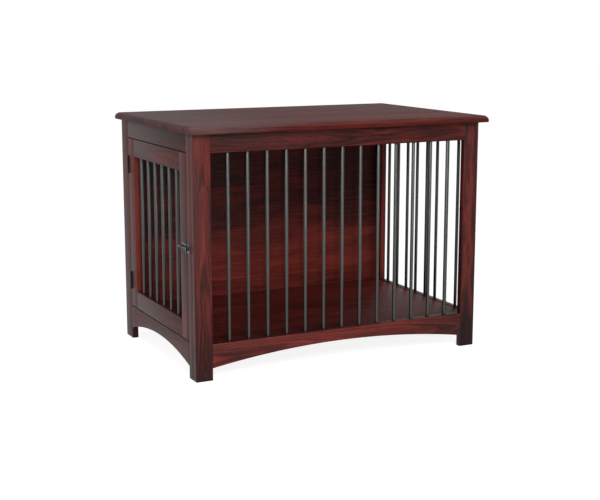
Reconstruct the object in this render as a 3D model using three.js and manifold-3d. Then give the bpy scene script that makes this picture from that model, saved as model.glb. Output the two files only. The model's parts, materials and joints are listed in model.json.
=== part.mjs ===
// Dog crate end table: a wooden cabin with round steel bars, a door on its left end and a table top.
// Millimetres, +Z up, +X to the right seen from the front, origin on the ground under the middle.

import * as THREE from 'three';
import { mergeVertices } from 'three/addons/utils/BufferGeometryUtils.js';
import Module from 'manifold-3d';

const wasm = await Module();
wasm.setup();

// ---- Driving dimensions ----

// Table top
const topLength = 914;
const topDepth = 599;
const topThickness = 19.5;
const topUpperRadius = 9.5; // round-over along its upper edge
const topLowerRadius = 2.5;
const topCornerRadius = 2.5; // upright corners, seen from above
const sideOverhang = 19;
const frontOverhang = 23;
const backOverhang = 2.5;

// Frames of the cabin
const cabinHeight = 656.5; // ground to the underside of the top
const boardThickness = 17.5;
const edgeEase = 2.5; // radius on the long edges of every board
const frontStileWidth = 47.5;
const endFrontStileWidth = 32.5; // sits behind the front frame
const endRearStileWidth = 56;
const topRailHeight = 50;
const bottomRailTop = 100; // height of its upper edge above the ground
const archSpring = 33.5; // height of the arched edge where it meets the stiles
const archRise = 32.3;

// Bars
const barDiameter = 9.5;
const barSeatDepth = 12;
const frontBarCount = 13;
const rightBarCount = 8;
const rightBarMargin = 31.6; // clear gap from a stile to the nearest bar
const doorBarCount = 6;
const doorBarMargin = 38;

// Back, floor and the cleats under it
const backPanelThickness = 17.5;
const floorThickness = 12;
const floorDrop = 1.5; // floor surface below the upper edge of the bottom rails
const cleatHeight = 18;
const cleatWidth = 18;

// Door
const doorGap = 2.5;
const doorStileWidth = 47.5;
const doorRailHeight = 50.5;
const doorStopWidth = 30;
const doorStopThickness = 12;
const doorStopLap = 10; // how far it reaches behind the door

// Butt hinges
const hingeLength = 50;
const hingeLeafWidth = 15;
const hingeKnuckleRadius = 3;
const hingeKnuckleCount = 5;
const hingePinRadius = 1.3;
const hingePinHeadRadius = 2.4;
const hingePinHeadHeight = 1.2;
const hingeInset = 52; // door corner to the near end of a hinge

// Slide bolt, at half the height of the door
const boltPlateHeight = 24;
const boltPlateThickness = 1.5;
const boltPlateInset = 2; // from the edge of the door
const boltRodRadius = 3;
const boltTravel = 16;
const boltGuideWidth = 4.5;
const boltGuideWall = 1.6;
const boltKnobRadius = 2.2;
const boltKnobDrop = 12;
const boltBallRadius = 3;
const keeperPlateLength = 18;
const keeperInset = 1.5; // from the edge of the stile to its plate
const keeperLoopInset = 1.5; // from the end of its plate to its loop
const keeperLoopLength = 7;

// Clearances
const seatGap = 0.3; // fixed pieces seated in or against another
const runningGap = 0.4; // pieces that turn or slide on each other
const knobPlay = 0.75; // knob to guide at each end of the travel
const hingeFaceGap = 0.3; // barrel to the face of the door
const boltSeatGap = 0.5; // rod to its plate

// Facets of the round shapes
const barSides = 16;
const seatSides = 10;
const easeSteps = 2;
const topEdgeSteps = 6;
const archSteps = 16;
const fittingSides = 16;

// ---- Sizes worked out from them ----

const halfCase = topLength / 2 - sideOverhang; // ends of the cabin, either side of the middle
const frontFace = topDepth / 2 - frontOverhang; // distance in front of the middle
const rearFace = topDepth / 2 - backOverhang; // distance behind the middle
const endInner = halfCase - boardThickness;
const frontInner = frontFace - boardThickness;
const backRailInner = rearFace - boardThickness;
const backPanelInner = backRailInner - backPanelThickness;
const topRailBottom = cabinHeight - topRailHeight;
const frontOpeningHalf = halfCase - frontStileWidth;
const endOpeningFront = frontInner - endFrontStileWidth; // in front of the middle
const endOpeningRear = rearFace - endRearStileWidth; // behind the middle
const floorTop = bottomRailTop - floorDrop;
const floorBottom = floorTop - floorThickness;
const cleatBottom = floorBottom - cleatHeight;
const barRadius = barDiameter / 2;

// ---- Materials ----

const wood = { color: 0x5e2a22, roughness: 0.42, metalness: 0 };
const topWood = { color: 0x6b4640, roughness: 0.36, metalness: 0 };
const panelWood = { color: 0x55241d, roughness: 0.5, metalness: 0 };
const floorWood = { color: 0x4a2620, roughness: 0.5, metalness: 0 };
const barSteel = { color: 0x5f5d5a, roughness: 0.35, metalness: 0.9 };
const fittingSteel = { color: 0x4b4744, roughness: 0.38, metalness: 0.9 };

// ---- Building blocks ----

const table = new THREE.Group();
const front = wall(0);
const rightEnd = wall(Math.PI / 2);
const back = wall(Math.PI);
const leftEnd = wall(-Math.PI / 2);
const level = new THREE.Group();
table.add(level);

// A wall is drawn as seen from outside: x to the right, y up from the ground, z out from the middle.
function wall(turn) {
  const group = new THREE.Group();
  group.rotation.set(Math.PI / 2, 0, turn, 'ZYX');
  table.add(group);
  return group;
}

function addMesh(parent, name, geometry, finish) {
  const mesh = new THREE.Mesh(geometry, new THREE.MeshStandardMaterial(finish));
  mesh.name = name;
  parent.add(mesh);
  return mesh;
}

function toSolid(geometry) {
  const bare = geometry.clone();
  bare.deleteAttribute('normal');
  bare.deleteAttribute('uv');
  const merged = mergeVertices(bare, 1e-4);
  return new wasm.Manifold(new wasm.Mesh({
    numProp: 3,
    vertProperties: merged.attributes.position.array,
    triVerts: Uint32Array.from(merged.index.array),
  }));
}

function toGeometry(solid) {
  const mesh = solid.getMesh();
  const geometry = new THREE.BufferGeometry();
  geometry.setAttribute('position', new THREE.BufferAttribute(mesh.vertProperties, 3));
  geometry.setIndex(new THREE.BufferAttribute(mesh.triVerts, 1));
  geometry.computeVertexNormals();
  return geometry;
}

function join(geometries) {
  return toGeometry(geometries.map(toSolid).reduce((sum, solid) => sum.add(solid)));
}

function cut(geometry, cutters) {
  return toGeometry(cutters.map(toSolid).reduce((rest, cutter) => rest.subtract(cutter), toSolid(geometry)));
}

function boxBetween(low, high) {
  const size = high.map((value, i) => value - low[i]);
  const middle = high.map((value, i) => (value + low[i]) / 2);
  return new THREE.BoxGeometry(...size).translate(...middle);
}

function rectangle(left, right, bottom, top) {
  const outline = new THREE.Shape();
  outline.moveTo(left, bottom);
  outline.lineTo(right, bottom);
  outline.lineTo(right, top);
  outline.lineTo(left, top);
  return outline;
}

function roundedRectangle(halfLength, halfDepth, radius) {
  const outline = new THREE.Shape();
  const across = halfLength - radius;
  const along = halfDepth - radius;
  outline.absarc(across, along, radius, 0, Math.PI / 2);
  outline.absarc(-across, along, radius, Math.PI / 2, Math.PI);
  outline.absarc(-across, -along, radius, Math.PI, Math.PI * 1.5);
  outline.absarc(across, -along, radius, Math.PI * 1.5, Math.PI * 2);
  return outline;
}

// A rail with a straight upper edge and one shallow arc for its lower edge.
function archedRail(left, right) {
  const outline = new THREE.Shape();
  const halfSpan = (right - left) / 2;
  const radius = (halfSpan ** 2 + archRise ** 2) / (2 * archRise);
  const halfAngle = Math.asin(halfSpan / radius);
  const centreHeight = archSpring + archRise - radius;
  const middle = (left + right) / 2;
  outline.moveTo(right, archSpring);
  outline.lineTo(right, bottomRailTop);
  outline.lineTo(left, bottomRailTop);
  outline.absarc(middle, centreHeight, radius, Math.PI / 2 + halfAngle, Math.PI / 2 - halfAngle, true);
  return outline;
}

// A board lying in a wall or flat: its outline, how far out its inner face lies, and its thickness.
function boardGeometry(outline, thickness, ease = edgeEase) {
  const geometry = new THREE.ExtrudeGeometry(outline, {
    depth: thickness - 2 * ease,
    bevelEnabled: true,
    bevelThickness: ease,
    bevelSize: ease,
    bevelOffset: -ease,
    bevelSegments: easeSteps,
    curveSegments: archSteps,
  });
  return geometry.translate(0, 0, ease);
}

function addBoard(parent, name, outline, inner, thickness, finish = wood, seats = []) {
  let geometry = boardGeometry(outline, thickness);
  if (seats.length > 0) {
    geometry = cut(geometry, seats);
  }
  const mesh = addMesh(parent, name, geometry, finish);
  mesh.position.z = inner;
  return mesh;
}

// Blind holes for the ends of bars, drawn in the board's own frame.
function barSeats(places, edgeHeight, upwards) {
  const reach = upwards ? barSeatDepth : -barSeatDepth;
  const mouth = upwards ? -edgeEase : edgeEase;
  const radius = (barRadius + seatGap) / Math.cos(Math.PI / seatSides); // its flats clear the bar
  return places.map((place) => {
    const hole = new THREE.CylinderGeometry(radius, radius, Math.abs(reach - mouth), seatSides);
    return hole.translate(place, edgeHeight + (reach + mouth) / 2, boardThickness / 2);
  });
}

function addBars(parent, prefix, places, lowEdge, highEdge, inner) {
  const bottom = lowEdge - barSeatDepth + seatGap;
  const top = highEdge + barSeatDepth - seatGap;
  const digits = places.length > 9 ? 2 : 1;
  places.forEach((place, i) => {
    const bar = new THREE.CylinderGeometry(barRadius, barRadius, top - bottom, barSides);
    const name = `${prefix}_${String(i + 1).padStart(digits, '0')}`;
    const mesh = addMesh(parent, name, bar, barSteel);
    mesh.position.set(place, (top + bottom) / 2, inner + boardThickness / 2);
  });
}

// Places of equally pitched bars between two stiles, with a clear gap of margin at each end.
function barPlaces(left, right, margin, count) {
  const first = left + margin + barRadius;
  const last = right - margin - barRadius;
  return Array.from({ length: count }, (_, i) => first + (i * (last - first)) / (count - 1));
}

// ---- Table top and floor ----

// A slab with one radius on its long edges, reaching past the top by that much on its other side.
function roundedSlab(radius, low, high) {
  const outline = rectangle(-topLength / 2, topLength / 2, -topDepth / 2, topDepth / 2);
  const geometry = new THREE.ExtrudeGeometry(outline, {
    depth: high - low - 2 * radius,
    bevelEnabled: true,
    bevelThickness: radius,
    bevelSize: radius,
    bevelOffset: -radius,
    bevelSegments: topEdgeSteps,
  });
  return geometry.translate(0, 0, low + radius);
}

// The upper edge has the large radius, the lower edge the small one, and the upright corners are eased.
function addTop() {
  const upper = roundedSlab(topUpperRadius, -topUpperRadius, topThickness);
  const lower = roundedSlab(topLowerRadius, 0, topThickness + topLowerRadius);
  const outline = roundedRectangle(topLength / 2, topDepth / 2, topCornerRadius);
  const column = new THREE.ExtrudeGeometry(outline, {
    depth: topThickness * 2,
    bevelEnabled: false,
    curveSegments: easeSteps + 1,
  });
  column.translate(0, 0, -topThickness / 2);
  const solid = toSolid(upper).intersect(toSolid(lower)).intersect(toSolid(column));
  const mesh = addMesh(level, 'tabletop', toGeometry(solid), topWood);
  mesh.position.z = cabinHeight;
}

function addFloor() {
  const outline = rectangle(-endInner, endInner, -frontInner, backPanelInner);
  addBoard(level, 'floor_panel', outline, floorBottom, floorThickness, floorWood);
  const cleat = rectangle(-endInner, endInner, cleatBottom, floorBottom);
  addBoard(front, 'front_floor_cleat', cleat, frontInner - cleatWidth, cleatWidth, floorWood);
  addBoard(back, 'rear_floor_cleat', cleat, backPanelInner - cleatWidth, cleatWidth, floorWood);
}

// ---- Front and back ----

function addFront() {
  const clearGap = (2 * frontOpeningHalf - frontBarCount * barDiameter) / (frontBarCount + 1);
  const places = barPlaces(-frontOpeningHalf, frontOpeningHalf, clearGap, frontBarCount);
  const leftStile = rectangle(-halfCase, -frontOpeningHalf, 0, cabinHeight);
  const rightStile = rectangle(frontOpeningHalf, halfCase, 0, cabinHeight);
  const topRail = rectangle(-frontOpeningHalf, frontOpeningHalf, topRailBottom, cabinHeight);
  const bottomRail = archedRail(-frontOpeningHalf, frontOpeningHalf);
  const topSeats = barSeats(places, topRailBottom, true);
  const bottomSeats = barSeats(places, bottomRailTop, false);
  addBoard(front, 'front_left_stile', leftStile, frontInner, boardThickness);
  addBoard(front, 'front_right_stile', rightStile, frontInner, boardThickness);
  addBoard(front, 'front_top_rail', topRail, frontInner, boardThickness, wood, topSeats);
  addBoard(front, 'front_bottom_rail', bottomRail, frontInner, boardThickness, wood, bottomSeats);
  addBars(front, 'front_bar', places, bottomRailTop, topRailBottom, frontInner);
}

function addBack() {
  const panel = rectangle(-endInner, endInner, cleatBottom, cabinHeight);
  const topRail = rectangle(-endInner, endInner, topRailBottom, cabinHeight);
  addBoard(back, 'back_panel', panel, backPanelInner, backPanelThickness, panelWood);
  addBoard(back, 'back_top_rail', topRail, backRailInner, boardThickness);
  addBoard(back, 'back_bottom_rail', archedRail(-endInner, endInner), backRailInner, boardThickness);
}

// ---- Ends ----

// The stiles and rails of one end; toFront is +1 where the wall's x runs towards the front, else -1.
function addEndFrame(parent, side, toFront, seats = { top: [], bottom: [] }) {
  const across = (a, b) => [Math.min(toFront * a, toFront * b), Math.max(toFront * a, toFront * b)];
  const frontStile = rectangle(...across(endOpeningFront, frontInner), 0, cabinHeight);
  const rearStile = rectangle(...across(-rearFace, -endOpeningRear), 0, cabinHeight);
  const opening = across(-endOpeningRear, endOpeningFront);
  const topRail = rectangle(...opening, topRailBottom, cabinHeight);
  addBoard(parent, `${side}_front_stile`, frontStile, endInner, boardThickness);
  addBoard(parent, `${side}_rear_stile`, rearStile, endInner, boardThickness);
  addBoard(parent, `${side}_top_rail`, topRail, endInner, boardThickness, wood, seats.top);
  addBoard(parent, `${side}_bottom_rail`, archedRail(...opening), endInner, boardThickness, wood, seats.bottom);
}

function addRightEnd() {
  const places = barPlaces(-endOpeningFront, endOpeningRear, rightBarMargin, rightBarCount);
  const seats = {
    top: barSeats(places, topRailBottom, true),
    bottom: barSeats(places, bottomRailTop, false),
  };
  addEndFrame(rightEnd, 'right', -1, seats);
  addBars(rightEnd, 'right_bar', places, bottomRailTop, topRailBottom, endInner);
}

function addLeftEnd() {
  addEndFrame(leftEnd, 'left', 1);
  const stopFront = endOpeningFront - doorGap - doorStopLap;
  const outline = rectangle(stopFront, stopFront + doorStopWidth, bottomRailTop, topRailBottom);
  const inner = endInner - seatGap - doorStopThickness;
  addBoard(leftEnd, 'door_stop', outline, inner, doorStopThickness);
}

// ---- Door, in the left end's wall: x runs towards the front ----

const doorLatchEdge = endOpeningFront - doorGap;
const doorHingeEdge = -endOpeningRear + doorGap;
const doorBottom = bottomRailTop + doorGap;
const doorTop = topRailBottom - doorGap;
const doorMiddleHeight = (doorBottom + doorTop) / 2;

function addDoor() {
  const door = new THREE.Group();
  leftEnd.add(door);
  const left = doorHingeEdge + doorStileWidth;
  const right = doorLatchEdge - doorStileWidth;
  const low = doorBottom + doorRailHeight;
  const high = doorTop - doorRailHeight;
  const places = barPlaces(left, right, doorBarMargin, doorBarCount);
  const hingeStile = rectangle(doorHingeEdge, left, doorBottom, doorTop);
  const latchStile = rectangle(right, doorLatchEdge, doorBottom, doorTop);
  const topRail = rectangle(left, right, high, doorTop);
  const bottomRail = rectangle(left, right, doorBottom, low);
  addBoard(door, 'door_hinge_stile', hingeStile, endInner, boardThickness);
  addBoard(door, 'door_latch_stile', latchStile, endInner, boardThickness);
  addBoard(door, 'door_top_rail', topRail, endInner, boardThickness, wood, barSeats(places, high, true));
  addBoard(door, 'door_bottom_rail', bottomRail, endInner, boardThickness, wood, barSeats(places, low, false));
  addBars(door, 'door_bar', places, low, high, endInner);
}

// ---- Hinges, their axis upright in the gap at the rear edge of the door ----

const hingeLeafThickness = (doorGap - seatGap) / 2;
const hingeAxisAcross = doorHingeEdge - doorGap / 2;
const hingeAxisOut = halfCase + hingeFaceGap + hingeKnuckleRadius;

// One leaf with every other knuckle; drawn around the middle of the hinge's axis.
function hingeLeaf(nearPlate, farPlate, firstKnuckle) {
  const faceOut = -hingeFaceGap - hingeKnuckleRadius;
  const half = hingeLength / 2;
  const pitch = hingeLength / hingeKnuckleCount;
  const plate = boxBetween([nearPlate, -half, faceOut - hingeLeafWidth], [farPlate, half, faceOut]);
  const parts = [plate];
  for (let i = firstKnuckle; i < hingeKnuckleCount; i += 2) {
    const low = -half + i * pitch + runningGap / 2;
    const high = low + pitch - runningGap;
    const knuckle = new THREE.CylinderGeometry(hingeKnuckleRadius, hingeKnuckleRadius, high - low, fittingSides);
    parts.push(knuckle.translate(0, (low + high) / 2, 0));
    parts.push(boxBetween([nearPlate, low, faceOut - hingeLeafWidth / 2], [farPlate, high, 0]));
  }
  const boreRadius = hingePinRadius + runningGap;
  const bore = new THREE.CylinderGeometry(boreRadius, boreRadius, hingeLength + 2, fittingSides);
  return cut(join(parts), [bore]);
}

function hingePin() {
  const half = hingeLength / 2;
  const end = half + seatGap + hingePinHeadHeight;
  const profile = [
    [0, -end],
    [hingePinHeadRadius * 0.7, -end],
    [hingePinHeadRadius, -end + hingePinHeadHeight * 0.4],
    [hingePinHeadRadius, -half - seatGap],
    [hingePinRadius, -half - seatGap],
    [hingePinRadius, half + seatGap],
    [hingePinHeadRadius, half + seatGap],
    [hingePinHeadRadius, end - hingePinHeadHeight * 0.4],
    [hingePinHeadRadius * 0.7, end],
    [0, end],
  ];
  return new THREE.LatheGeometry(profile.map(([r, y]) => new THREE.Vector2(r, y)), fittingSides);
}

function addHinge(place, height) {
  const nearStile = -doorGap / 2;
  const nearDoor = doorGap / 2;
  const hinge = new THREE.Group();
  hinge.position.set(hingeAxisAcross, height, hingeAxisOut);
  leftEnd.add(hinge);
  const frameLeaf = hingeLeaf(nearStile, nearStile + hingeLeafThickness, 0);
  const doorLeaf = hingeLeaf(nearDoor - hingeLeafThickness, nearDoor, 1);
  addMesh(hinge, `${place}_hinge_frame_leaf`, frameLeaf, fittingSteel);
  addMesh(hinge, `${place}_hinge_door_leaf`, doorLeaf, fittingSteel);
  addMesh(hinge, `${place}_hinge_pin`, hingePin(), fittingSteel);
}

// ---- Slide bolt on the door and its keeper on the stile ----

const boltPlateLength = 2 * (boltGuideWidth + boltKnobRadius + knobPlay) + boltTravel;
const boltPlateEnd = doorLatchEdge - boltPlateInset;
const boltPlateStart = boltPlateEnd - boltPlateLength;
const boltAxisOut = boltPlateThickness + boltSeatGap + boltRodRadius; // from the face of the door

// A loop round the rod that stands on the plate, drawn along x with the rod's axis at y = z = 0.
function guideLoop(start, end) {
  const radius = boltRodRadius + runningGap + boltGuideWall;
  const tube = new THREE.CylinderGeometry(radius, radius, end - start, fittingSides);
  tube.rotateZ(Math.PI / 2);
  tube.translate((start + end) / 2, 0, 0);
  return [tube, boxBetween([start, -radius, -boltAxisOut], [end, radius, 0])];
}

function rodBore(start, end) {
  const radius = boltRodRadius + runningGap;
  const bore = new THREE.CylinderGeometry(radius, radius, end - start + 2, fittingSides);
  return bore.rotateZ(Math.PI / 2).translate((start + end) / 2, 0, 0);
}

function plateWithLoops(start, end, loops) {
  const plateOut = boltPlateThickness - boltAxisOut;
  const plate = boxBetween([start, -boltPlateHeight / 2, -boltAxisOut], [end, boltPlateHeight / 2, plateOut]);
  return cut(join([plate, ...loops.flatMap(([a, b]) => guideLoop(a, b))]), [rodBore(start, end)]);
}

function slideBolt() {
  const start = boltPlateStart + boltGuideWidth / 4 - boltTravel;
  const end = boltPlateEnd - boltSeatGap;
  const chamfer = boltRodRadius / 3;
  const profile = [
    [0, start],
    [boltRodRadius - chamfer, start],
    [boltRodRadius, start + chamfer],
    [boltRodRadius, end - chamfer],
    [boltRodRadius - chamfer, end],
    [0, end],
  ];
  const rod = new THREE.LatheGeometry(profile.map(([r, y]) => new THREE.Vector2(r, y)), fittingSides);
  rod.rotateZ(-Math.PI / 2);
  const knobPlace = boltPlateStart + boltGuideWidth + knobPlay + boltKnobRadius;
  const stem = new THREE.CylinderGeometry(boltKnobRadius, boltKnobRadius, boltKnobDrop, fittingSides);
  stem.translate(knobPlace, -boltKnobDrop / 2, 0);
  const ball = new THREE.SphereGeometry(boltBallRadius, fittingSides, fittingSides / 2);
  ball.translate(knobPlace, -boltKnobDrop, 0);
  return join([rod, stem, ball]);
}

function addBolt() {
  const bolt = new THREE.Group();
  bolt.position.set(0, doorMiddleHeight, halfCase + boltAxisOut);
  leftEnd.add(bolt);
  const guides = [
    [boltPlateStart, boltPlateStart + boltGuideWidth],
    [boltPlateEnd - boltGuideWidth, boltPlateEnd],
  ];
  const keeperStart = endOpeningFront + keeperInset;
  const keeperLoop = keeperStart + keeperLoopInset;
  const keeperLoops = [[keeperLoop, keeperLoop + keeperLoopLength]];
  const keeper = plateWithLoops(keeperStart, keeperStart + keeperPlateLength, keeperLoops);
  addMesh(bolt, 'bolt_plate', plateWithLoops(boltPlateStart, boltPlateEnd, guides), fittingSteel);
  addMesh(bolt, 'slide_bolt', slideBolt(), fittingSteel);
  addMesh(bolt, 'bolt_keeper', keeper, fittingSteel);
}

// ---- The whole table ----

addTop();
addFloor();
addFront();
addBack();
addRightEnd();
addLeftEnd();
addDoor();
addHinge('upper', doorTop - hingeInset - hingeLength / 2);
addHinge('lower', doorBottom + hingeInset + hingeLength / 2);
addBolt();

export default table;
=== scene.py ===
import json
import math

import bmesh
import bpy
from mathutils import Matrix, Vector


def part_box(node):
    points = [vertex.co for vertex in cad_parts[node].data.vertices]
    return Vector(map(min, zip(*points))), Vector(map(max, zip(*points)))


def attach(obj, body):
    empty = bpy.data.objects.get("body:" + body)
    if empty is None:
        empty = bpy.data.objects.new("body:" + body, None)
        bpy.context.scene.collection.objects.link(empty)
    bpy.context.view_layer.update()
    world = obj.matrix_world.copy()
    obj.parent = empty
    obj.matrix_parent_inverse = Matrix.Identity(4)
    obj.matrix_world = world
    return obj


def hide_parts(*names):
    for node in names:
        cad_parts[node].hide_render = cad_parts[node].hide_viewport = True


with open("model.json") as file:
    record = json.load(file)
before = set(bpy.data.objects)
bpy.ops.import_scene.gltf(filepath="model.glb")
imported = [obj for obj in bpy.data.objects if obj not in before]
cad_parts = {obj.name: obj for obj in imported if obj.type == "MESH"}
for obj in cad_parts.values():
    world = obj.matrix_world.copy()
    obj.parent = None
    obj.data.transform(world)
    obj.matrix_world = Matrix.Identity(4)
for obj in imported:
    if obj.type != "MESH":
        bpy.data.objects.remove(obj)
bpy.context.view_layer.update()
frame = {"nodes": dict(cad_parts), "record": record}
scene = bpy.context.scene
bodyOfNode = {node: body for body, nodes in frame["record"]["behaviour"]["bodies"].items() for node in nodes}
nearly = 0.00001         # metres; points closer than this are taken as one place


# Helpers that model and finish a piece

def deselectAll():
    if bpy.context.object and bpy.context.object.mode != "OBJECT":
        bpy.ops.object.mode_set(mode="OBJECT")
    bpy.ops.object.select_all(action="DESELECT")


def activate(piece):
    deselectAll()
    piece.select_set(True)
    bpy.context.view_layer.objects.active = piece


def selectVerts(piece, wanted):
    # wanted(point) says which; the piece is in edit mode
    bpy.ops.mesh.select_mode(type="VERT")
    bpy.ops.mesh.select_all(action="DESELECT")
    mesh = bmesh.from_edit_mesh(piece.data)
    for vert in mesh.verts:
        if wanted(vert.co):
            vert.select_set(True)
    mesh.select_flush(True)
    bmesh.update_edit_mesh(piece.data)


def addBox(name, low, high):
    deselectAll()
    centre = (Vector(low) + Vector(high)) / 2
    bpy.ops.mesh.primitive_cube_add(size=1, location=centre)
    piece = bpy.context.object
    piece.name = name
    piece.scale = Vector(high) - Vector(low)
    bpy.ops.object.transform_apply(location=True, rotation=True, scale=True)
    return piece


def roundEdges(piece, wanted, radius, steps):
    # wanted(a, b) gets the two ends of an edge
    activate(piece)
    bpy.ops.object.mode_set(mode="EDIT")
    bpy.ops.mesh.select_mode(type="EDGE")
    bpy.ops.mesh.select_all(action="DESELECT")
    mesh = bmesh.from_edit_mesh(piece.data)
    for edge in mesh.edges:
        if wanted(edge.verts[0].co, edge.verts[1].co):
            edge.select_set(True)
    bmesh.update_edit_mesh(piece.data)
    bpy.ops.mesh.bevel(offset=radius, segments=steps, profile=0.5, affect="EDGES")
    bpy.ops.object.mode_set(mode="OBJECT")


def easeSharpEdges(piece, radius, steps=2, angle=35):
    # every edge that turns by more than angle, in degrees
    activate(piece)
    bpy.ops.object.mode_set(mode="EDIT")
    bpy.ops.mesh.select_mode(type="EDGE")
    bpy.ops.mesh.select_all(action="DESELECT")
    bpy.ops.mesh.edges_select_sharp(sharpness=math.radians(angle))
    bpy.ops.mesh.bevel(offset=radius, segments=steps, profile=0.5, affect="EDGES")
    bpy.ops.object.mode_set(mode="OBJECT")


def addRod(name, radius, start, end, place, runs, sides=32, ease=0.0):
    # a round bar from start to end along the axis that it runs on; place is a point on its centre line
    deselectAll()
    centre = Vector(place)
    centre["XYZ".index(runs)] = (start + end) / 2
    turn = {"X": (0, math.pi / 2, 0), "Y": (math.pi / 2, 0, 0), "Z": (0, 0, 0)}[runs]
    bpy.ops.mesh.primitive_cylinder_add(vertices=sides, radius=radius, depth=end - start,
                                        end_fill_type="NGON", location=centre, rotation=turn)
    piece = bpy.context.object
    piece.name = name
    bpy.ops.object.transform_apply(location=True, rotation=True, scale=True)
    if ease:
        easeSharpEdges(piece, ease, angle=60)
    return piece


def copyPiece(source, name, move, turn=(0, 0, 0)):
    # a copy with its own mesh, its place and turn applied
    activate(source)
    bpy.ops.object.duplicate(linked=False)
    piece = bpy.context.object
    piece.name = name
    piece.location = move
    piece.rotation_euler = turn
    bpy.ops.object.transform_apply(location=True, rotation=True, scale=True)
    return piece


def smooth(piece, angle=30):
    activate(piece)
    bpy.ops.object.shade_smooth_by_angle(angle=math.radians(angle))


def finishPiece(piece, node, material):
    smooth(piece)
    piece.data.materials.clear()
    piece.data.materials.append(material)
    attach(piece, bodyOfNode[node])
    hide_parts(node)


# Stained hardwood

woodStain = {
    "ramp": [
        (0.00, (0.009, 0.0036, 0.0034)),
        (0.25, (0.024, 0.0064, 0.0060)),
        (0.50, (0.060, 0.0112, 0.0094)),
        (0.75, (0.114, 0.0178, 0.0136)),
        (1.00, (0.196, 0.0275, 0.0200)),
    ],
    # the pale grey of the painted sheen, a painted reflection mixed into the colour, and how much rougher
    # places take of it
    "paintedSheen": (0.30, 0.27, 0.27), "paintedSheenByRoughness": 2.0,
    "plankSpread": 7.13, "plankShift": (3.1, 2.3, 1.7),     # takes each plank from another part of the log
    "ringSpacing": 0.0038, "ringDetail": 3.0, "ringShift": 50.0,
    "poreFade": (0.60, 0.70),
    # each kind of mark: its length and width in metres, its detail, its roughness
    "wave": (0.16, 0.07, 2.0), "sway": (0.30, 0.30, 1.0), "fray": (0.040, 0.004, 2.0),
    "patch": (0.24, 0.045, 2.0), "streak": (0.115, 0.0065, 4.0, 0.6),
    "fibre": (0.035, 0.0016, 3.0, 0.6), "pore": (0.010, 0.00055, 1.0),
    # how much each kind of mark counts
    "inRings": {"wave": 0.016, "sway": 0.026, "fray": 0.9},
    "inTone": {"patch": 0.75, "streak": 0.72, "fibre": 0.50, "pore": -0.18},
    "inRoughness": {"streak": 0.16, "patch": 0.12, "pore": 0.12},
    "inHeight": {"fibre": 0.5, "ring": 0.35, "pore": -0.9},
    "bumpStrength": 0.35, "bumpDistance": 0.0003,
}
# what a board has unless it says otherwise
plainBoard = {"plankWidth": 0.5, "contrast": 0.0, "tilt": 0.02, "depth": 0.03, "wander": 0.02, "figure": 1.1,
              "roughness": 0.42, "specular": 0.11, "shades": {}, "paintedSheen": {}, "arch": False, "corner": None}


def makeMath(tree, operation, first, second=0.0, third=None):
    node = tree.nodes.new("ShaderNodeMath")
    node.operation = operation
    for place, value in enumerate([first, second] + ([third] if third is not None else [])):
        if isinstance(value, (int, float)):
            node.inputs[place].default_value = value
        else:
            tree.links.new(value, node.inputs[place])
    return node.outputs[0]


def stretchedNoise(tree, vector, alongSize, acrossSize, detail=3.0, roughness=0.55):
    # noise whose marks are alongSize by acrossSize metres
    stretch = tree.nodes.new("ShaderNodeVectorMath")
    stretch.operation = "MULTIPLY"
    tree.links.new(vector, stretch.inputs[0])
    stretch.inputs[1].default_value = (1 / alongSize, 1 / acrossSize, 1 / acrossSize)
    noise = tree.nodes.new("ShaderNodeTexNoise")
    noise.inputs["Scale"].default_value = 1.0
    noise.inputs["Detail"].default_value = detail
    noise.inputs["Roughness"].default_value = roughness
    tree.links.new(stretch.outputs[0], noise.inputs["Vector"])
    return noise.outputs["Fac"]


def weighted(tree, start, *parts):
    # start plus weight times (source - 0.5) for each part
    total = start
    for source, weight in parts:
        total = makeMath(tree, "MULTIPLY_ADD", makeMath(tree, "SUBTRACT", source, 0.5), weight, total)
    return total


def newMaterial(name):
    material = bpy.data.materials.new(name)
    material.use_nodes = True
    material.node_tree.nodes.clear()
    return material, material.node_tree


def addBump(tree, shader, height, strength, distance):
    bump = tree.nodes.new("ShaderNodeBump")
    bump.inputs["Strength"].default_value = strength
    bump.inputs["Distance"].default_value = distance
    tree.links.new(height, bump.inputs["Height"])
    tree.links.new(bump.outputs[0], shader.inputs["Normal"])


def addOutput(tree, shader, kind="ShaderNodeOutputMaterial"):
    output = tree.nodes.new(kind)
    tree.links.new(shader.outputs[0], output.inputs["Surface"])


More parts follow.
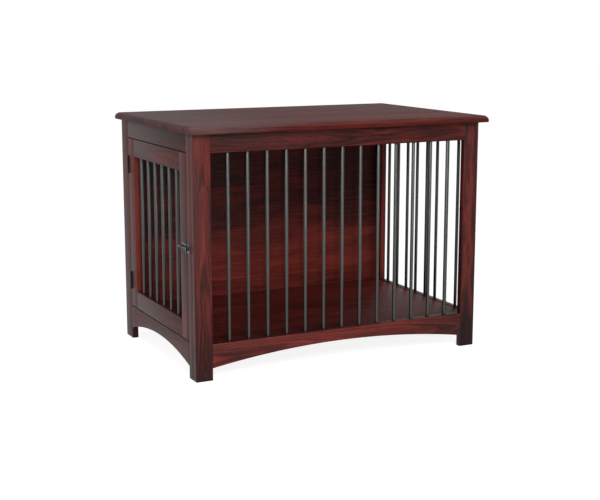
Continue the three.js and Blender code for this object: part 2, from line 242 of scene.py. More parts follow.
def makeGrainGroup():
    tree = bpy.data.node_groups.new("stainedGrain", "ShaderNodeTree")
    numbers = ("Plank Width", "Tone", "Plank Contrast", "Tilt", "Depth", "Wander", "Figure", "Polish", "Seed")
    tree.interface.new_socket(name="Vector", in_out="INPUT", socket_type="NodeSocketVector")
    for name in numbers:
        tree.interface.new_socket(name=name, in_out="INPUT", socket_type="NodeSocketFloat")
    for name, kind in (("Color", "NodeSocketColor"), ("Roughness", "NodeSocketFloat"),
                       ("Height", "NodeSocketFloat")):
        tree.interface.new_socket(name=name, in_out="OUTPUT", socket_type=kind)
    given = tree.nodes.new("NodeGroupInput").outputs
    result = tree.nodes.new("NodeGroupOutput").inputs
    link = tree.links.new

    split = tree.nodes.new("ShaderNodeSeparateXYZ")
    link(given["Vector"], split.inputs[0])
    along, across, through = split.outputs

    # each glued plank gets its own piece of the log
    plank = makeMath(tree, "ROUND", makeMath(tree, "DIVIDE", across, given["Plank Width"]))
    chance = tree.nodes.new("ShaderNodeTexWhiteNoise")
    chance.noise_dimensions = "1D"
    link(makeMath(tree, "MULTIPLY_ADD", plank, woodStain["plankSpread"], given["Seed"]), chance.inputs["W"])
    chances = tree.nodes.new("ShaderNodeSeparateXYZ")
    link(chance.outputs["Color"], chances.inputs[0])
    chanceA, chanceB, chanceC = chances.outputs
    local = makeMath(tree, "SUBTRACT", across, makeMath(tree, "MULTIPLY", plank, given["Plank Width"]))

    shift = tree.nodes.new("ShaderNodeVectorMath")
    shift.operation = "MULTIPLY_ADD"
    link(chance.outputs["Color"], shift.inputs[0])
    shift.inputs[1].default_value = woodStain["plankShift"]
    link(given["Vector"], shift.inputs[2])
    wave, sway, fray, patch, streak, fibre, pore = (
        stretchedNoise(tree, shift.outputs[0], *woodStain[mark])
        for mark in ("wave", "sway", "fray", "patch", "streak", "fibre", "pore"))

    # growth rings round a pith that leans through the board, so that the flat face shows arches
    share = woodStain["inRings"]
    pithAcross = makeMath(tree, "MULTIPLY", makeMath(tree, "SUBTRACT", chanceA, 0.5), given["Wander"])
    sideways = weighted(tree, makeMath(tree, "SUBTRACT", local, pithAcross), (sway, share["sway"]))
    deep = makeMath(tree, "ADD", makeMath(tree, "ADD", through, given["Depth"]),
                    makeMath(tree, "MULTIPLY", along, given["Tilt"]))
    deep = makeMath(tree, "MULTIPLY_ADD", chanceB, given["Wander"], deep)
    deep = weighted(tree, deep, (wave, share["wave"]))
    radius = makeMath(tree, "SQRT", makeMath(tree, "ADD", makeMath(tree, "MULTIPLY", sideways, sideways),
                                             makeMath(tree, "MULTIPLY", deep, deep)))
    phase = weighted(tree, makeMath(tree, "DIVIDE", radius, woodStain["ringSpacing"]), (fray, share["fray"]))
    rings = tree.nodes.new("ShaderNodeTexNoise")
    rings.noise_dimensions = "1D"
    rings.inputs["Scale"].default_value = 1.0
    rings.inputs["Detail"].default_value = woodStain["ringDetail"]
    link(makeMath(tree, "ADD", phase, makeMath(tree, "MULTIPLY", chanceC, woodStain["ringShift"])),
         rings.inputs["W"])
    ring = rings.outputs["Fac"]

    # stain takes unevenly: broad patches, long streaks, fine fibres and short dark pores
    poreMask = tree.nodes.new("ShaderNodeMapRange")
    link(pore, poreMask.inputs["Value"])
    poreMask.inputs["From Min"].default_value, poreMask.inputs["From Max"].default_value = woodStain["poreFade"]
    pores = poreMask.outputs[0]

    share = woodStain["inTone"]
    tone = weighted(tree, makeMath(tree, "ADD", given["Tone"], 0.5), (patch, share["patch"]),
                    (streak, share["streak"]), (fibre, share["fibre"]), (ring, given["Figure"]),
                    (chanceC, given["Plank Contrast"]))
    tone = makeMath(tree, "MULTIPLY_ADD", pores, share["pore"], tone)
    ramp = tree.nodes.new("ShaderNodeValToRGB")
    stops = ramp.color_ramp.elements
    while len(stops) < len(woodStain["ramp"]):
        stops.new(0.5)
    for stop, (place, color) in zip(stops, woodStain["ramp"]):
        stop.position = place
        stop.color = (*color, 1)
    link(tone, ramp.inputs[0])
    link(ramp.outputs["Color"], result["Color"])

    share = woodStain["inRoughness"]
    rough = weighted(tree, given["Polish"], (streak, share["streak"]), (patch, share["patch"]))
    link(makeMath(tree, "MULTIPLY_ADD", pores, share["pore"], rough), result["Roughness"])
    share = woodStain["inHeight"]
    height = weighted(tree, 0.5, (fibre, share["fibre"]), (ring, share["ring"]))
    link(makeMath(tree, "MULTIPLY_ADD", pores, share["pore"], height), result["Height"])
    return tree


grainGroup = makeGrainGroup()


def valueAlong(tree, coordinate, stops):
    # stops are (place in metres, value) along one axis; values from -0.5 to 0.5
    first, last = stops[0][0], stops[-1][0]
    share = tree.nodes.new("ShaderNodeMapRange")
    share.inputs["From Min"].default_value = first
    share.inputs["From Max"].default_value = last
    tree.links.new(coordinate, share.inputs["Value"])
    ramp = tree.nodes.new("ShaderNodeValToRGB")
    ramp.color_ramp.interpolation = "EASE"
    marks = ramp.color_ramp.elements
    while len(marks) < len(stops):
        marks.new(0.5)
    for mark, (place, value) in zip(marks, stops):
        mark.position = (place - first) / (last - first)
        mark.color = (value + 0.5,) * 3 + (1,)
    tree.links.new(share.outputs[0], ramp.inputs[0])
    return makeMath(tree, "SUBTRACT", ramp.outputs["Color"], 0.5)


def makeWood(name, centre, board):
    # the board's grain runs along one axis and its width across another
    material, tree = newMaterial(name)
    place = tree.nodes.new("ShaderNodeTexCoord")
    mapping = tree.nodes.new("ShaderNodeMapping")
    mapping.inputs["Location"].default_value = [-value for value in centre]
    tree.links.new(place.outputs["Object"], mapping.inputs["Vector"])
    split = tree.nodes.new("ShaderNodeSeparateXYZ")
    join = tree.nodes.new("ShaderNodeCombineXYZ")
    tree.links.new(mapping.outputs[0], split.inputs[0])
    through = next(axis for axis in "XYZ" if axis not in (board["grain"], board["across"]))
    for target, axis in zip(join.inputs, (board["grain"], board["across"], through)):
        tree.links.new(split.outputs[axis], target)
    group = tree.nodes.new("ShaderNodeGroup")
    group.node_tree = grainGroup
    tree.links.new(join.outputs[0], group.inputs["Vector"])
    for socket, key in (("Plank Width", "plankWidth"), ("Plank Contrast", "contrast"), ("Tilt", "tilt"),
                        ("Depth", "depth"), ("Wander", "wander"), ("Figure", "figure"),
                        ("Polish", "roughness"), ("Seed", "seed")):
        group.inputs[socket].default_value = board[key]

    # lighter and darker parts of the board, by place: tone, and on some boards painted light and shade
    places = tree.nodes.new("ShaderNodeSeparateXYZ")
    tree.links.new(place.outputs["Object"], places.inputs[0])
    tone = board["tone"]
    for axis, stops in board["shades"].items():
        tone = makeMath(tree, "ADD", valueAlong(tree, places.outputs[axis], stops), tone)
    if board["shades"]:
        tree.links.new(tone, group.inputs["Tone"])
    else:
        group.inputs["Tone"].default_value = tone

    shader = tree.nodes.new("ShaderNodeBsdfPrincipled")
    shader.inputs["Specular IOR Level"].default_value = board["specular"]
    color = group.outputs["Color"]
    if board["paintedSheen"]:
        # painted sheen: where the stops say, the colour is mixed towards a pale grey that stands in for the
        # reflection of the white surroundings, more where the finish is rougher
        paintedSheen = 0.0
        for axis, stops in board["paintedSheen"].items():
            paintedSheen = makeMath(tree, "ADD", valueAlong(tree, places.outputs[axis], stops), paintedSheen)
        uneven = makeMath(tree, "MULTIPLY", group.outputs["Roughness"], woodStain["paintedSheenByRoughness"])
        paintedSheen = makeMath(tree, "MULTIPLY", paintedSheen, uneven)
        pale = tree.nodes.new("ShaderNodeMix")
        pale.data_type = "RGBA"
        tree.links.new(paintedSheen, pale.inputs["Factor"])
        tree.links.new(color, pale.inputs["A"])
        pale.inputs["B"].default_value = (*woodStain["paintedSheen"], 1)
        color = pale.outputs["Result"]
    tree.links.new(color, shader.inputs["Base Color"])
    tree.links.new(group.outputs["Roughness"], shader.inputs["Roughness"])
    addBump(tree, shader, group.outputs["Height"], woodStain["bumpStrength"], woodStain["bumpDistance"])
    addOutput(tree, shader)
    return material


# Boards of the cabin and the door. Shades make a board lighter or darker along an axis, some as tone and some
# as painted light and shade, an arch hollows its lower edge, and corner is the corner of the cabin that it
# stands at

boardSizes = {"easedEdge": 0.0006, "easedSteps": 3, "cornerEdge": 0.0024, "cornerSteps": 4,
              "archStations": 36, "archRise": 0.0323}
upright = dict(grain="Z", slot="frame_wood")
rail = dict(across="Z", slot="frame_wood")
footShade = {"Z": [(0.0, -0.26), (0.05, -0.20), (0.13, 0.0), (0.66, 0.02)]}
boards = {
    "front_left_stile": dict(upright, across="X", seed=3.0, tilt=0.050, depth=0.028, wander=0.006, tone=0.0,
                             figure=0.9, corner=(-1, -1),
                             shades={"Z": [(0.0, -0.26), (0.05, -0.18), (0.14, 0.02), (0.35, 0.03),
                                           (0.66, 0.10)]}),
    "front_right_stile": dict(upright, across="X", seed=11.0, tilt=0.012, depth=0.05, figure=0.7, tone=-0.09,
                              shades=footShade, corner=(1, -1)),
    "front_top_rail": dict(rail, grain="X", seed=5.0, tilt=0.012, depth=0.04, tone=-0.08, figure=0.8,
                           specular=0.07, shades={"X": [(-0.39, -0.04), (0.0, 0.02), (0.39, 0.0)]}),
    "front_bottom_rail": dict(rail, grain="X", seed=21.0, tilt=0.03, depth=0.03, arch=True, tone=0.0,
                              shades={"X": [(-0.39, 0.02), (-0.05, 0.24), (0.15, 0.14), (0.39, -0.14)],
                                      # Z: painted shade, the top face darker
                                      "Z": [(0.0335, 0.0), (0.0988, 0.0), (0.0996, -0.30), (0.1000, -0.30)]}),
    "left_front_stile": dict(upright, across="Y", seed=7.0, tilt=0.01, figure=0.7, tone=-0.02,
                             shades=footShade),
    "left_rear_stile": dict(upright, across="Y", seed=8.0, tilt=0.02, figure=0.7, tone=0.0,
                            shades=footShade, corner=(-1, 1)),
    "left_top_rail": dict(rail, grain="Y", seed=9.0, figure=0.7, tone=-0.12),
    "left_bottom_rail": dict(rail, grain="Y", seed=10.0, figure=0.7, tone=-0.08, arch=True),
    "right_front_stile": dict(upright, across="Y", seed=12.0, tone=0.0, shades=footShade),
    "right_rear_stile": dict(upright, across="Y", seed=13.0, tilt=0.03, tone=0.0, corner=(1, 1),
                             # Y: painted light, the face towards the front lighter as if lit by the lamps
                             shades=dict(footShade, Y=[(0.2400, 0.34), (0.2415, 0.34), (0.2425, 0.0),
                                                       (0.2970, 0.0)])),
    "right_top_rail": dict(rail, grain="Y", seed=14.0, tone=-0.02),
    "right_bottom_rail": dict(rail, grain="Y", seed=15.0, tone=0.02, arch=True),
    "back_top_rail": dict(rail, grain="X", seed=16.0, tone=0.0),
    "back_bottom_rail": dict(rail, grain="X", seed=17.0, tone=0.04, arch=True),
    "door_stop": dict(upright, across="Y", seed=18.0, tilt=0.01, tone=-0.05),
    "front_floor_cleat": dict(rail, grain="X", seed=19.0, tone=0.0),
    "rear_floor_cleat": dict(rail, grain="X", seed=20.0, tone=0.0),
    "door_hinge_stile": dict(upright, across="Y", seed=31.0, tilt=0.015, figure=0.7, tone=0.0,
                             # Y: painted light, the edge face that looks forward lighter as if lit by the lamps
                             shades={"Y": [(0.180, 0.45), (0.1915, 0.45), (0.1925, 0.03), (0.240, 0.03)]}),
    "door_latch_stile": dict(upright, across="Y", seed=32.0, tilt=0.01, figure=0.7, tone=0.0),
    "door_top_rail": dict(rail, grain="Y", seed=33.0, figure=0.7, tone=-0.05),
    "door_bottom_rail": dict(rail, grain="Y", seed=34.0, figure=0.7, tone=-0.06),
    "back_panel": dict(grain="X", across="Z", slot="panel_wood", seed=41.0, tilt=0.025, depth=0.02,
                       wander=0.05, tone=0.0, plankWidth=0.145, contrast=0.12, specular=0.05, figure=0.4,
                       # Z: painted shade, the panel darker towards the top under the tabletop's shadow and
                       # lighter low down
                       shades={"Z": [(0.10, 0.20), (0.22, 0.17), (0.38, -0.05), (0.52, -0.10),
                                     (0.66, -0.12)]}),
    "floor_panel": dict(grain="X", across="Y", slot="floor_wood", seed=51.0, tilt=0.02, depth=0.02,
                        wander=0.05, tone=0.07, plankWidth=0.130, contrast=0.24, specular=0.06,
                        roughness=0.46, figure=0.8),
}


def archUnder(piece, low, high, runs):
    # cuts the board into stations, then lifts its lower edge onto a circle
    start, end = low[runs], high[runs]
    half = (end - start) / 2
    rise, parts = boardSizes["archRise"], boardSizes["archStations"]
    radius = (half * half + rise * rise) / (2 * rise)
    activate(piece)
    bpy.ops.object.mode_set(mode="EDIT")
    stations = [start + (end - start) * number / parts for number in range(1, parts)]
    for station in stations:
        bpy.ops.mesh.select_all(action="SELECT")
        point, normal = [0.0, 0.0, 0.0], [0.0, 0.0, 0.0]
        point[runs], normal[runs] = station, 1.0
        bpy.ops.mesh.bisect(plane_co=point, plane_no=normal)
    for station in stations:
        off = station - (start + end) / 2
        lift = math.sqrt(radius * radius - off * off) - (radius - rise)
        selectVerts(piece, lambda co: abs(co[runs] - station) < nearly and abs(co.z - low.z) < nearly)
        bpy.ops.transform.translate(value=(0, 0, lift))
    bpy.ops.mesh.select_all(action="SELECT")
    bpy.ops.mesh.normals_make_consistent(inside=False)
    bpy.ops.object.mode_set(mode="OBJECT")


def makeBoard(name, board):
    low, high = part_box(name)
    board = dict(plainBoard, **board)
    piece = addBox("board_" + name, low, high)
    if board["arch"]:
        archUnder(piece, low, high, "XYZ".index(board["grain"]))
    if board["corner"]:
        # the upright edge at a corner of the cabin is rounded more than the rest
        x = high.x if board["corner"][0] > 0 else low.x
        y = high.y if board["corner"][1] > 0 else low.y
        roundEdges(piece, lambda a, b: all(abs(end.x - x) + abs(end.y - y) < nearly for end in (a, b)),
                   boardSizes["cornerEdge"], boardSizes["cornerSteps"])
    easeSharpEdges(piece, boardSizes["easedEdge"], boardSizes["easedSteps"])
    finishPiece(piece, name, makeWood(name + "_wood", (low + high) / 2, board))


for name, board in boards.items():
    makeBoard(name, board)
print("boards done")


# Tabletop: planks glued side by side, rounded over along the upper edge

tabletop = {
    "roundOver": 0.0138, "roundSteps": 12, "lowerEdge": 0.0022, "lowerSteps": 3,
    "cornerEase": 0.0012, "cornerSteps": 3, "cornerAngle": 40,
    "wood": dict(plainBoard, grain="X", across="Y", plankWidth=0.098, contrast=0.20, tilt=0.010, depth=0.03,
                 wander=0.06, seed=61.0, specular=0.022, roughness=0.52, figure=1.0, tone=0.0,
                 shades={"X": [(-0.457, -0.06), (0.0, 0.06), (0.457, 0.04)],
                         # Y: painted highlight, the rounded front edge lighter where the lamps catch it
                         "Y": [(-0.2995, 0.08), (-0.2950, 0.12), (-0.2865, 0.04), (0.2995, 0.0)]},
                 # painted reflection: the left end and a thin line along the top of the front rounding are
                 # mixed towards pale grey
                 paintedSheen={"X": [(-0.457, 0.10), (-0.444, 0.14), (-0.05, 0.0), (0.457, 0.02)],
                        "Y": [(-0.2995, -0.04), (-0.2970, 0.03), (-0.2885, 0.09), (-0.2850, 0.0),
                              (0.2995, 0.0)]}),
}


def makeTabletop():
    low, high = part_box("tabletop")
    piece = addBox("tabletop_boards", low, high)
    roundEdges(piece, lambda a, b: min(a.z, b.z) > high.z - nearly, tabletop["roundOver"],
               tabletop["roundSteps"])
    roundEdges(piece, lambda a, b: max(a.z, b.z) < low.z + nearly, tabletop["lowerEdge"],
               tabletop["lowerSteps"])
    easeSharpEdges(piece, tabletop["cornerEase"], tabletop["cornerSteps"], tabletop["cornerAngle"])
    finishPiece(piece, "tabletop", makeWood("tabletop_wood", (low + high) / 2, tabletop["wood"]))


makeTabletop()
print("tabletop done")


# Steel: drawn bars, blackened hinges and a dark latch

steelFinish = {
    "specular": 0.5, "lineDetail": 3.0, "cloud": (0.06, 0.03, 2.0), "linesInColor": 0.5, "cloudInColor": 0.6,
    "linesInRoughness": 0.18, "bumpStrength": 0.15, "bumpDistance": 0.0001,
}
# lines are the marks of the finish: their length and width in metres
steels = {
    "bar_steel_drawn": dict(color=(0.072, 0.076, 0.071), dark=(0.056, 0.059, 0.055), roughness=0.36,
                            lines=(0.08, 0.004), metallic=1.0),
    "hinge_steel_black": dict(color=(0.050, 0.046, 0.043), dark=(0.026, 0.024, 0.023), roughness=0.38,
                              lines=(0.006, 0.003), metallic=0.6),
    "bolt_steel_dark": dict(color=(0.088, 0.095, 0.094), dark=(0.036, 0.040, 0.040), roughness=0.30,
                            lines=(0.006, 0.003), metallic=0.85),
}


def makeSteel(name):
    steel = steels[name]
    material, tree = newMaterial(name)
    place = tree.nodes.new("ShaderNodeTexCoord")
    split = tree.nodes.new("ShaderNodeSeparateXYZ")
    join = tree.nodes.new("ShaderNodeCombineXYZ")
    tree.links.new(place.outputs["Object"], split.inputs[0])
    for target, axis in zip(join.inputs, "ZXY"):
        tree.links.new(split.outputs[axis], target)
    lines = stretchedNoise(tree, join.outputs[0], *steel["lines"], steelFinish["lineDetail"])
    cloud = stretchedNoise(tree, join.outputs[0], *steelFinish["cloud"])
    mix = tree.nodes.new("ShaderNodeMix")
    mix.data_type = "RGBA"
    mix.inputs["A"].default_value = (*steel["dark"], 1)
    mix.inputs["B"].default_value = (*steel["color"], 1)
    blend = makeMath(tree, "MULTIPLY_ADD", lines, steelFinish["linesInColor"],
                     makeMath(tree, "MULTIPLY", cloud, steelFinish["cloudInColor"]))
    tree.links.new(blend, mix.inputs["Factor"])
    shader = tree.nodes.new("ShaderNodeBsdfPrincipled")
    shader.inputs["Metallic"].default_value = steel["metallic"]
    shader.inputs["Specular IOR Level"].default_value = steelFinish["specular"]
    tree.links.new(mix.outputs["Result"], shader.inputs["Base Color"])
    smoothest = steel["roughness"] - steelFinish["linesInRoughness"] / 2
    tree.links.new(makeMath(tree, "MULTIPLY_ADD", lines, steelFinish["linesInRoughness"], smoothest),
                   shader.inputs["Roughness"])
    addBump(tree, shader, lines, steelFinish["bumpStrength"], steelFinish["bumpDistance"])
    addOutput(tree, shader)
    return material


barSteel = makeSteel("bar_steel_drawn")
hingeSteel = makeSteel("hinge_steel_black")
boltSteel = makeSteel("bolt_steel_dark")

bars = {"sides": 32, "endEase": 0.0006}


def makeBars(nodes):
    # one bar of the row is modelled and the others are its copies
    low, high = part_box(nodes[0])
    first = addRod("rod_" + nodes[0], (high.x - low.x) / 2, low.z, high.z, (low + high) / 2, "Z",
                   bars["sides"], bars["endEase"])
    row = [first] + [copyPiece(first, "rod_" + node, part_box(node)[0] - low) for node in nodes[1:]]
    for piece, node in zip(row, nodes):
        finishPiece(piece, node, barSteel)


for place in ("front", "right", "door"):
    makeBars(sorted(node for node in frame["nodes"] if node.startswith(place + "_bar_")))
print("bars done")


# Hinges, slide bolt, keeper and their screws

hinge = {"axisX": -0.4413, "axisY": 0.23975, "barrel": 0.0030, "knuckles": 5, "knuckleGap": 0.00015,
         "leafGap": 0.00015, "leafThick": 0.0011, "leafEnd": -0.4230, "pin": 0.0013, "bore": 0.0015,
         "head": 0.0024, "headTall": 0.0012, "headEase": 0.0004, "room": 0.0003, "ease": 0.00025, "sides": 24,
         "screws": 3, "screwStagger": 0.0018, "slotStart": 15, "slotStep": 41}
bolt = {"axisX": -0.4430, "axisZ": 0.35325, "rod": 0.0030, "rodEase": 0.0010, "bore": 0.0033, "loop": 0.0049,
        "plateOut": -0.4395, "plateEase": 0.0004, "footSunk": 0.0003, "boreBeyond": 0.01, "guide": 0.0045,
        "stem": 0.0022, "stemDrop": 0.012, "knobPlay": 0.00075, "ball": 0.0030, "ballSides": 32,
        "ballRings": 20, "sides": 40, "screwRise": 0.0083, "screwInset": 0.00225, "slotStart": 20,
        "slotStep": 37}
keeper = {"loopFrom": 0.0085, "loopTo": 0.0015, "screwInset": 0.0040}
screw = {"head": 0.0018, "tall": 0.0007, "deep": 0.0010, "dome": 0.00042, "domeSteps": 4,
         "slotWide": 0.00045, "slotDeep": 0.00035, "seat": 0.0020, "seatDeep": 0.0006, "flush": 0.00006,
         "sides": 28}


def combine(piece, other, how):
    activate(piece)
    cut = piece.modifiers.new("shape", "BOOLEAN")
    cut.operation = how
    cut.solver = "EXACT"
    cut.object = other
    bpy.ops.object.modifier_apply(modifier=cut.name)
    bpy.data.objects.remove(other)
    return piece


def easeModifier(piece, width, steps=2, angle=50):
    activate(piece)
    ease = piece.modifiers.new("ease", "BEVEL")
    ease.width = width
    ease.segments = steps
    ease.limit_method = "ANGLE"
    ease.angle_limit = math.radians(angle)
    bpy.ops.object.modifier_apply(modifier=ease.name)


def makeScrewHead():
    # a slotted round head at the origin, its face towards -X; every screw is a copy of it
    head = addRod("screw_pattern", screw["head"], 0.0, screw["deep"], (0, 0, 0), "X", screw["sides"])
    roundEdges(head, lambda a, b: max(a.x, b.x) < nearly, screw["dome"], screw["domeSteps"])
    deep, long, half = screw["slotDeep"], 2 * screw["head"], screw["slotWide"] / 2
    return combine(head, addBox("slot", (-deep, -long, -half), (deep, long, half)), "DIFFERENCE")


screwHead = makeScrewHead()


def placeScrew(name, body, steel, place, turn):
    head = copyPiece(screwHead, "screw_" + name, place, turn)
    smooth(head)
    head.data.materials.append(steel)
    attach(head, body)


def leafScrewPlaces(low, high):
    middle = (hinge["axisX"] + hinge["barrel"] + hinge["leafEnd"]) / 2
    step = (high.z - low.z) / hinge["screws"]
    return [(middle - hinge["screwStagger"] * (-1) ** number, low.z + step * (number + 0.5))
            for number in range(hinge["screws"])]


def addHingeLeaf(node, side):
    # side 1 is the leaf on the frame and -1 the leaf on the door; their knuckles take turns along the barrel
    low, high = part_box(node)
    axis = (hinge["axisX"], hinge["axisY"], 0)
    step = (high.z - low.z) / hinge["knuckles"]
    gap = hinge["knuckleGap"]
    near = hinge["axisY"] + side * hinge["leafGap"]
    far = near + side * hinge["leafThick"]
    piece = addBox("leaf_" + node, (hinge["axisX"] + hinge["pin"], min(near, far), low.z),
                   (hinge["leafEnd"], max(near, far), high.z))
    for number in range(hinge["knuckles"]):
        start = low.z + number * step + (gap if number else 0)
        end = low.z + (number + 1) * step - (gap if number < hinge["knuckles"] - 1 else 0)
        if number % 2 == (0 if side > 0 else 1):
            combine(piece, addRod("knuckle", hinge["barrel"], start, end, axis, "Z"), "UNION")
        else:
            reach = hinge["barrel"] + hinge["room"]
            room = addBox("room", (axis[0] - reach, axis[1] - reach, start - 2 * gap),
                          (axis[0] + reach, axis[1] + reach, end + 2 * gap))
            combine(piece, room, "DIFFERENCE")
    combine(piece, addRod("bore", hinge["bore"], low.z - step, high.z + step, axis, "Z", hinge["sides"]),
            "DIFFERENCE")
    # screws sit flush in the face that meets the other leaf
    over, deep = near - side * screw["seatDeep"], near + side * screw["seatDeep"]
    for x, z in leafScrewPlaces(low, high):
        seat = addRod("seat", screw["seat"], min(over, deep), max(over, deep), (x, 0, z), "Y", screw["sides"])
        combine(piece, seat, "DIFFERENCE")
    easeModifier(piece, hinge["ease"])
    return piece


def addHingePin(node):
    low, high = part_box(node)
    axis = (hinge["axisX"], hinge["axisY"], 0)
    tall = hinge["headTall"]
    inside = tall / 3       # the pin's own ends lie inside its heads
    piece = addRod("pin_" + node, hinge["pin"], low.z + inside, high.z - inside, axis, "Z", hinge["sides"])
    for start, end in ((low.z, low.z + tall), (high.z - tall, high.z)):
        head = addRod("head", hinge["head"], start, end, axis, "Z", hinge["sides"], hinge["headEase"])
        combine(piece, head, "UNION")
    return piece


def makeHinges():
    # the lower hinge is modelled and the upper one is its copy
    lift = Vector((0, 0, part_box("upper_hinge_pin")[0].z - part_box("lower_hinge_pin")[0].z))
    for part, piece in (("frame_leaf", addHingeLeaf("lower_hinge_frame_leaf", 1)),
                        ("door_leaf", addHingeLeaf("lower_hinge_door_leaf", -1)),
                        ("pin", addHingePin("lower_hinge_pin"))):
        copy = copyPiece(piece, piece.name.replace("lower", "upper"), lift)
        finishPiece(piece, "lower_hinge_" + part, hingeSteel)
        finishPiece(copy, "upper_hinge_" + part, hingeSteel)
    for node, side in ((place + "_hinge_" + leaf, side) for place in ("lower", "upper")
                       for leaf, side in (("frame_leaf", 1), ("door_leaf", -1))):
        face = hinge["axisY"] + side * (hinge["leafGap"] + screw["flush"])
        for number, (x, z) in enumerate(leafScrewPlaces(*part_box(node)), 1):
            placeScrew(f"{node}_{number}", bodyOfNode[node], hingeSteel, (x, face, z),
                       (math.radians(hinge["slotStep"] * number + hinge["slotStart"]), 0, side * math.pi / 2))


makeHinges()
print("hinges done")


def makeGuidedPlate(node, loops):
    # a plate with loops that the rod runs through; loops are (start, end) along y
    low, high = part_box(node)
    axis = (bolt["axisX"], 0, bolt["axisZ"])
    piece = addBox("fitting_" + node, (bolt["plateOut"], low.y, low.z), (high.x, high.y, high.z))
    easeSharpEdges(piece, bolt["plateEase"])
    for start, end in loops:
        loop = addRod("loop", bolt["loop"], start, end, axis, "Y", bolt["sides"], bolt["plateEase"])
        foot = addBox("foot", (bolt["axisX"], start, bolt["axisZ"] - bolt["loop"]),
                      (bolt["plateOut"] + bolt["footSunk"], end, bolt["axisZ"] + bolt["loop"]))
        combine(piece, combine(loop, foot, "UNION"), "UNION")
    bore = addRod("bore", bolt["bore"], low.y - bolt["boreBeyond"], high.y + bolt["boreBeyond"], axis, "Y",
                  bolt["sides"])
    combine(piece, bore, "DIFFERENCE")
    finishPiece(piece, node, boltSteel)


def makeSlideBolt(knobY):
    low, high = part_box("slide_bolt")
    axis = (bolt["axisX"], 0, bolt["axisZ"])
    piece = addRod("fitting_slide_bolt", bolt["rod"], low.y, high.y, axis, "Y", bolt["sides"], bolt["rodEase"])
    below = bolt["axisZ"] - bolt["stemDrop"]
    stem = addRod("stem", bolt["stem"], below, bolt["axisZ"], (bolt["axisX"], knobY, 0), "Z")
    combine(piece, stem, "UNION")
    deselectAll()
    bpy.ops.mesh.primitive_uv_sphere_add(segments=bolt["ballSides"], ring_count=bolt["ballRings"],
                                         radius=bolt["ball"], location=(bolt["axisX"], knobY, below))
    ball = bpy.context.object
    bpy.ops.object.transform_apply(location=True, rotation=True, scale=True)
    combine(piece, ball, "UNION")
    finishPiece(piece, "slide_bolt", boltSteel)


def makeScrews(node, along):
    # a screw above and one below the rod at each place along y
    places = [(y, bolt["axisZ"] + side * bolt["screwRise"]) for y in along for side in (1, -1)]
    for number, (y, z) in enumerate(places, 1):
        placeScrew(f"{node}_{number}", bodyOfNode[node], boltSteel, (bolt["plateOut"] - screw["tall"], y, z),
                   (math.radians(bolt["slotStep"] * number + bolt["slotStart"]), 0, 0))


plateLow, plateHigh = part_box("bolt_plate")
keeperLow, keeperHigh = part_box("bolt_keeper")
makeGuidedPlate("bolt_plate", [(plateLow.y, plateLow.y + bolt["guide"]),
                               (plateHigh.y - bolt["guide"], plateHigh.y)])
makeGuidedPlate("bolt_keeper", [(keeperHigh.y - keeper["loopFrom"], keeperHigh.y - keeper["loopTo"])])
makeSlideBolt(plateHigh.y - bolt["guide"] - bolt["stem"] - bolt["knobPlay"])
makeScrews("bolt_plate", [plateLow.y + bolt["screwInset"], plateHigh.y - bolt["screwInset"]])
makeScrews("bolt_keeper", [keeperLow.y + keeper["screwInset"]])
bpy.data.objects.remove(screwHead)
print("latch done")


# Floor, world, lamps and camera

studio = {
    "floorSize": 40.0, "floorGlow": 0.88, "floorSeen": 0.35, "floorBounce": 0.70, "worldFill": 0.36,
    "lamps": {
        "key": dict(place=(-0.9, -4.4, 2.75), target=(0, -0.1, 0.3), size=(1.8, 1.3), watts=145),
        "strip": dict(place=(0.4, -4.3, 0.36), target=(-0.05, -0.2, 0.3), size=(0.09, 0.70), watts=30),
        "side": dict(place=(-4.0, -2.2, 2.0), target=(-0.3, 0, 0.35), size=(1.8, 1.8), watts=60),
    },
    "cameraPlace": (-1.5726, -3.1738, 0.9441), "cameraYaw": -26.424, "cameraPitch": -10.714,
    "lens": 73.11, "sensor": 36,
}


def seenRays(tree):
    # what the camera sees, straight or in metal, and not what lights the table
    path = tree.nodes.new("ShaderNodeLightPath")
    seen = makeMath(tree, "MAXIMUM", path.outputs["Is Camera Ray"], path.outputs["Is Glossy Ray"])
    return makeMath(tree, "MAXIMUM", seen, path.outputs["Is Transmission Ray"])


def addDiffuse(tree, grey):
    shader = tree.nodes.new("ShaderNodeBsdfDiffuse")
    shader.inputs["Color"].default_value = (grey, grey, grey, 1)
    return shader


def addWhite(tree, kind, strength):
    shader = tree.nodes.new(kind)
    shader.inputs["Color"].default_value = (1, 1, 1, 1)
    shader.inputs["Strength"].default_value = strength
    return shader


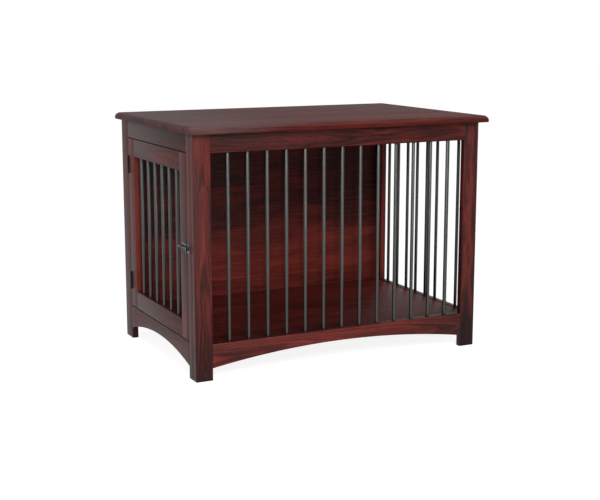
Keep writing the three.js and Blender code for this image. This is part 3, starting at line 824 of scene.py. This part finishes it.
def addMixed(tree, unseen, seen, kind):
    mix = tree.nodes.new("ShaderNodeMixShader")
    tree.links.new(seenRays(tree), mix.inputs[0])
    tree.links.new(unseen.outputs[0], mix.inputs[1])
    tree.links.new(seen.outputs[0], mix.inputs[2])
    addOutput(tree, mix, kind)


def makeFloor():
    deselectAll()
    bpy.ops.mesh.primitive_plane_add(size=studio["floorSize"], location=(0, 0, 0))
    floor = bpy.context.object
    floor.name = "studio_floor"
    material, tree = newMaterial("studio_floor_white")
    seen = tree.nodes.new("ShaderNodeAddShader")
    tree.links.new(addWhite(tree, "ShaderNodeEmission", studio["floorGlow"]).outputs[0], seen.inputs[0])
    tree.links.new(addDiffuse(tree, studio["floorSeen"]).outputs[0], seen.inputs[1])
    addMixed(tree, addDiffuse(tree, studio["floorBounce"]), seen, "ShaderNodeOutputMaterial")
    floor.data.materials.append(material)


def makeWorld():
    world = bpy.data.worlds.new("studio_world")
    scene.world = world
    world.use_nodes = True
    tree = world.node_tree
    tree.nodes.clear()
    addMixed(tree, addWhite(tree, "ShaderNodeBackground", studio["worldFill"]),
             addWhite(tree, "ShaderNodeBackground", 1.0), "ShaderNodeOutputWorld")


def addLamp(name, lamp):
    light = bpy.data.lights.new(name, "AREA")
    light.shape = "RECTANGLE"
    light.size, light.size_y = lamp["size"]
    light.energy = lamp["watts"]
    holder = bpy.data.objects.new(name, light)
    holder.location = lamp["place"]
    toward = Vector(lamp["target"]) - Vector(lamp["place"])
    holder.rotation_euler = toward.to_track_quat("-Z", "Y").to_euler()
    scene.collection.objects.link(holder)


makeFloor()
makeWorld()
for name, lamp in studio["lamps"].items():
    addLamp("lamp_" + name, lamp)

camera = bpy.data.objects.new("camera", bpy.data.cameras.new("camera"))
camera.data.sensor_width = studio["sensor"]
camera.data.lens = studio["lens"]
camera.location = studio["cameraPlace"]
camera.rotation_euler = (math.radians(90 + studio["cameraPitch"]), 0, math.radians(studio["cameraYaw"]))
scene.collection.objects.link(camera)
scene.camera = camera
scene.view_settings.view_transform = "Standard"
print("studio done")
